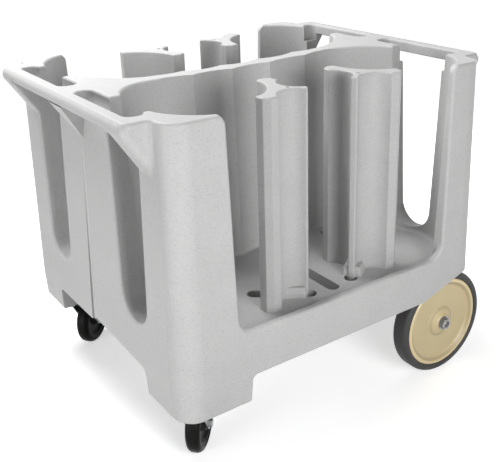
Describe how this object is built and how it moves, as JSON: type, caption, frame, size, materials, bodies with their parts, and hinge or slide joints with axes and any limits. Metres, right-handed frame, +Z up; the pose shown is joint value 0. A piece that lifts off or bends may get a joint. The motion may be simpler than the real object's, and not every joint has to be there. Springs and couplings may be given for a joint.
{
  "type": "plate trolley",
  "caption": "Moulded plate trolley with open plate columns between slotted end walls, a scalloped spine, sliding towers, handle rails, fixed rear wheels and swivel casters.",
  "frame": {"origin": "on the ground under the middle of the trolley", "axes": "+X from the caster end to the wheel end, +Y to the far long side, +Z up"},
  "size_m": [0.9, 0.73, 0.75],
  "materials": {
    "moulded_grey": "speckled satin",
    "tower_grey": "speckled satin",
    "tyre_rubber": "matte",
    "hub_tan": "satin",
    "nylon": "satin",
    "axle_steel": "bright",
    "zinc_steel": "bright zinc",
    "core_plastic": "matte"
  },
  "bodies": {
    "trolley": {"body": "moulded_grey", "rear_axle": "axle_steel", "near_axle_spacer": "zinc_steel", "near_axle_washer": "zinc_steel", "near_axle_nut": "zinc_steel", "near_caster_plate": "zinc_steel", "near_caster_bolts": "zinc_steel", "near_caster_race": "zinc_steel", "near_caster_kingpin": "zinc_steel", "far_axle_spacer": "zinc_steel", "far_axle_washer": "zinc_steel", "far_axle_nut": "zinc_steel", "far_caster_plate": "zinc_steel", "far_caster_bolts": "zinc_steel", "far_caster_race": "zinc_steel", "far_caster_kingpin": "zinc_steel"},
    "near_front_tower": {"near_front_tower": "tower_grey"},
    "near_rear_tower": {"near_rear_tower": "tower_grey"},
    "near_rear_wheel": {"near_wheel_tyre": "tyre_rubber", "near_wheel_hub": "hub_tan", "near_wheel_bush": "nylon"},
    "near_caster_swivel": {"near_caster_fork": "zinc_steel", "near_caster_sleeve": "zinc_steel", "near_caster_pivot": "zinc_steel", "near_caster_nut": "zinc_steel"},
    "near_caster_wheel": {"near_caster_tyre": "tyre_rubber", "near_caster_core": "core_plastic"},
    "far_front_tower": {"far_front_tower": "tower_grey"},
    "far_rear_tower": {"far_rear_tower": "tower_grey"},
    "far_rear_wheel": {"far_wheel_tyre": "tyre_rubber", "far_wheel_hub": "hub_tan", "far_wheel_bush": "nylon"},
    "far_caster_swivel": {"far_caster_fork": "zinc_steel", "far_caster_sleeve": "zinc_steel", "far_caster_pivot": "zinc_steel", "far_caster_nut": "zinc_steel"},
    "far_caster_wheel": {"far_caster_tyre": "tyre_rubber", "far_caster_core": "core_plastic"}
  },
  "joints": [
    {"name": "near_front_tower_slide", "type": "slide", "parent": "trolley", "child": "near_front_tower", "axis": [-0.809, 0.5878, 0], "range_m": [-0.022, 0.06]},
    {"name": "near_rear_tower_slide", "type": "slide", "parent": "trolley", "child": "near_rear_tower", "axis": [0.809, 0.5878, 0], "range_m": [-0.022, 0.06]},
    {"name": "near_rear_wheel_spin", "type": "hinge", "parent": "trolley", "child": "near_rear_wheel", "pos_m": [0.318, -0.33, 0.127], "axis": [0, 1, 0], "continuous": true},
    {"name": "near_caster_swivel_turn", "type": "hinge", "parent": "trolley", "child": "near_caster_swivel", "pos_m": [-0.327, -0.271, 0.14], "axis": [0, 0, 1], "continuous": true},
    {"name": "near_caster_wheel_spin", "type": "hinge", "parent": "near_caster_swivel", "child": "near_caster_wheel", "pos_m": [-0.30067, -0.24645, 0.0625], "axis": [-0.682, 0.7314, 0], "continuous": true},
    {"name": "far_front_tower_slide", "type": "slide", "parent": "trolley", "child": "far_front_tower", "axis": [-0.809, -0.5878, 0], "range_m": [-0.022, 0.06]},
    {"name": "far_rear_tower_slide", "type": "slide", "parent": "trolley", "child": "far_rear_tower", "axis": [0.809, -0.5878, 0], "range_m": [-0.004, 0.078]},
    {"name": "far_rear_wheel_spin", "type": "hinge", "parent": "trolley", "child": "far_rear_wheel", "pos_m": [0.318, 0.33, 0.127], "axis": [0, 1, 0], "continuous": true},
    {"name": "far_caster_swivel_turn", "type": "hinge", "parent": "trolley", "child": "far_caster_swivel", "pos_m": [-0.327, 0.271, 0.14], "axis": [0, 0, 1], "continuous": true},
    {"name": "far_caster_wheel_spin", "type": "hinge", "parent": "far_caster_swivel", "child": "far_caster_wheel", "pos_m": [-0.29863, 0.29316, 0.0625], "axis": [-0.6157, 0.788, 0], "continuous": true}
  ]
}
